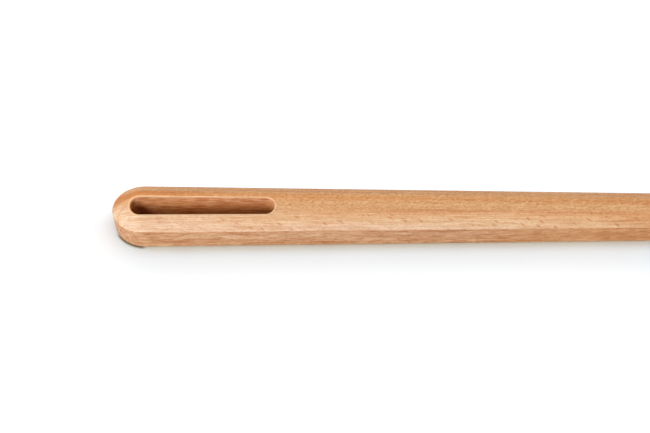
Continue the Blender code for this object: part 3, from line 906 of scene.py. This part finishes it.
def make_silicone():
    """Silicone rubber from a bead-blasted mould: one soft matt colour, a little cloudy, with a skin of
    fine even grain. It gives the eye soft highlights, faint scratches along the bowl and a lip that is
    rubbed paler at the tip."""
    material, tree = new_material("moulded_silicone")
    at = Surface(tree)

    # The blasted grain and the scratches are really under 0.1 mm. They are drawn 0.35 mm, to show
    clouds = pattern(tree, at.spot, (22, 22, 22), detail=3.0)
    mottle = pattern(tree, at.spot, (2.4, 2.4, 2.4), detail=2.0)
    grain = pattern(tree, at.spot, (0.35, 0.35, 0.35), detail=2.0)
    scratches = pattern(tree, at.spot, (26, 0.35, 2.0), detail=1.0, turn=4)
    scratched = mask(tree, (scratches, 0.64, 0.72), (at.along, *SCRATCHED_BOWL))
    rubbed = mask(tree, (at.along, *RUBBED_TIP), (mottle, 0.35, 0.60))
    colour = painted(tree, linear("#577F7F"), "#638D90", (clouds, 0.3, 0.7))
    colour = stained(tree, colour, "#F4F8F8", (mottle, 0.35, 0.70))
    colour = stained(tree, colour, "#F3F6F6", (grain, 0.35, 0.70))
    for worn, amount in ((scratched, 0.15), (rubbed, 0.30)):
        colour = painted(tree, colour, "#8DB0B0", worn, amount)
    roughness = mask(tree, (grain, 0.0, 1.0, 0.44, 0.60))
    roughness = add_node(tree, "ShaderNodeMath", {0: scratched, 1: 0.12, 2: roughness},
                         operation="MULTIPLY_ADD")
    skin = add_node(tree, "ShaderNodeBump", {"Strength": 0.2, "Distance": 0.04 * MM, "Height": grain})
    shader = add_node(tree, "ShaderNodeBsdfPrincipled",
                      {"Base Color": colour, "Roughness": roughness.outputs[0], "IOR": 1.41,
                       "Sheen Weight": 0.12, "Normal": skin.outputs[0]})
    add_node(tree, "ShaderNodeOutputMaterial", {"Surface": shader.outputs[0]})
    return material


def make_nylon():
    """Glass-filled nylon as it leaves the mould: dark grey, with the ends of short glass fibres as
    paler flecks in a slightly rough skin."""
    material, tree = new_material("moulded_glass_filled_nylon")

    # Real glass fibres are 0.3 mm long and 0.01 mm thick. They are drawn coarser, to show
    fibres = pattern(tree, Surface(tree).spot, (1.2, 0.25, 0.25), detail=2.0, roughness=0.5)
    colour = painted(tree, linear("#5C5C5E"), "#7E7E80", (fibres, 0.55, 0.75))
    roughness = mask(tree, (fibres, 0.0, 1.0, 0.42, 0.62))
    skin = add_node(tree, "ShaderNodeBump", {"Strength": 0.25, "Distance": 0.04 * MM,
                                             "Height": fibres})
    shader = add_node(tree, "ShaderNodeBsdfPrincipled",
                      {"Base Color": colour, "Roughness": roughness, "IOR": 1.53,
                       "Normal": skin.outputs[0]})
    add_node(tree, "ShaderNodeOutputMaterial", {"Surface": shader.outputs[0]})
    return material


def seen_directly(tree):
    """1 for what the camera sees, also in a reflection or through glass, and 0 for the light that
    things throw on each other."""
    path = add_node(tree, "ShaderNodeLightPath")
    seen = path.outputs["Is Camera Ray"]
    for ray in ("Is Glossy Ray", "Is Transmission Ray"):
        seen = add_node(tree, "ShaderNodeMath", {0: seen, 1: path.outputs[ray]},
                        operation="MAXIMUM").outputs[0]
    return seen


def table_shade(tree, at):
    """How the table shows: white, with painted shade beside whatever stands on it. The painted shade is
    warm close by and cool further out. It is plain grey past the end of the wood that the photograph
    shows, and half so past the butt, whose front edge has a painted contact shadow under it."""
    near = add_node(tree, "ShaderNodeAmbientOcclusion", {"Distance": CONTACT_SHADE}, samples=16)
    touching = add_node(tree, "ShaderNodeAmbientOcclusion", {"Distance": CONTACT_LINE}, samples=16)
    shade = add_node(tree, "ShaderNodeValToRGB", {0: near.outputs["AO"]})
    set_ramp(shade, (0.0, "#F6F2DC"), (0.42, "#F2EEDA"), (0.50, "#D9D8CB"), (0.54, "#D3D8D1"),
             (0.58, "#DBEAEE"), (0.62, "#E3F3FA"), (0.72, "#E7F1F8"), (0.86, "#EFF7FB"),
             (1.0, "#FFFFFF"))
    grey = add_node(tree, "ShaderNodeRGBToBW", {0: shade.outputs[0]})
    past_ends = add_node(tree, "ShaderNodeMath", {0: mask(tree, (at.along, *PAST_SHOWN_WOOD)),
                                                  1: mask(tree, (at.along, *PAST_BUTT), 0.5)},
                         operation="MAXIMUM")
    shade = add_node(tree, "ShaderNodeMix", {"Factor": past_ends.outputs[0],
                                             COLOUR_A: shade.outputs[0], COLOUR_B: grey.outputs[0]},
                     data_type="RGBA")
    # A painted contact shadow under the butt's front edge
    return painted(tree, shade.outputs[COLOUR_OUT], "#8A8268", (touching.outputs["AO"], 0.9, 0.6),
                   (at.along, *BUTT_SHADOW_ALONG), (at.across, *BUTT_SHADOW_ACROSS))


def make_floor():
    """A white table that runs on past the view. Where it is seen it is a little over white, so that
    only the object's shadow shows on it."""
    bm = bmesh.new()
    bmesh.ops.create_grid(bm, x_segments=1, y_segments=1, size=FLOOR_SIZE / 2)
    mesh = bpy.data.meshes.new("studio_floor")
    bm.to_mesh(mesh)
    bm.free()
    floor = add_object("studio_floor", mesh)
    material, tree = new_material("white_table")
    at = Surface(tree)
    plan = add_node(tree, "ShaderNodeVectorMath", {0: at.spot}, operation="LENGTH")
    away = add_node(tree, "ShaderNodeMath", {0: mask(tree, (at.across, *BEHIND_HANDLE)),
                                             1: mask(tree, (plan.outputs["Value"], *FAR_OUT))},
                    operation="MAXIMUM")
    gain = mask(tree, (away.outputs[0], 0.0, 1.0, FLOOR_SHOWN, FLOOR_SHOWN_FAR))
    shown = add_node(tree, "ShaderNodeVectorMath", {0: table_shade(tree, at), "Scale": gain},
                     operation="SCALE")
    colour = add_node(tree, "ShaderNodeMix", {"Factor": seen_directly(tree),
                                              COLOUR_A: linear(FLOOR_COLOUR),
                                              COLOUR_B: shown.outputs[0]}, data_type="RGBA")
    shader = add_node(tree, "ShaderNodeBsdfDiffuse", {"Color": colour.outputs[COLOUR_OUT]})
    add_node(tree, "ShaderNodeOutputMaterial", {"Surface": shader.outputs[0]})
    mesh.materials.append(material)
    return floor


def look_at_target(made, away, distance):
    """Put a lamp or camera at a distance from the camera's target, facing it."""
    made.location = Vector(CAMERA_TARGET) + away * distance
    made.rotation_euler = away.to_track_quat("Z", "Y").to_euler()


def make_lamp(name, receivers, azimuth, elevation, distance, size, level):
    """A soft lamp that looks at the handle and lights only its receivers. The level is what it adds to
    a white surface that faces it, as a share of white."""
    lamp = bpy.data.lights.new(name, "AREA")
    lamp.shape = "RECTANGLE"
    lamp.size, lamp.size_y = size
    lamp.energy = level * math.pi * math.pi * distance * distance
    made = add_object(name, lamp)
    turn, lift = math.radians(azimuth), math.radians(elevation)
    away = Vector((math.sin(turn) * math.cos(lift), -math.cos(turn) * math.cos(lift), math.sin(lift)))
    look_at_target(made, away, distance)
    collection = bpy.data.collections.new(name + "_lights")
    for piece in receivers:
        collection.objects.link(piece)
    made.light_linking.receiver_collection = collection


def make_world():
    """Even surroundings, plain white where they are seen."""
    world = bpy.data.worlds.new("white_studio")
    bpy.context.scene.world = world
    world.use_nodes = True
    tree = world.node_tree
    tree.nodes.clear()
    strength = mask(tree, (seen_directly(tree), 0.0, 1.0, AMBIENT_LEVEL, 1.0))
    shown = add_node(tree, "ShaderNodeBackground", {"Color": (1, 1, 1, 1), "Strength": strength})
    add_node(tree, "ShaderNodeOutputWorld", {"Surface": shown.outputs[0]})


def make_camera():
    """The photograph's view."""
    camera = bpy.data.cameras.new("camera")
    camera.sensor_width = SENSOR_MM
    camera.lens = FOCAL_PX * SENSOR_MM / IMAGE_WIDTH_PX
    camera.clip_start, camera.clip_end = CLIP_RANGE
    made = add_object("camera", camera)
    lift = math.radians(CAMERA_ELEVATION)
    look_at_target(made, Vector((0, -math.cos(lift), math.sin(lift))), CAMERA_DISTANCE)
    bpy.context.scene.camera = made


make_camera()
pieces = [make_handle(make_beech()), make_core(make_nylon()), make_head(make_silicone())]
floor = make_floor()
make_world()
make_lamp("key", pieces, **KEY_LAMP)
make_lamp("table_lamp", [floor], **TABLE_LAMP)
bpy.context.scene.view_settings.view_transform = "Standard"
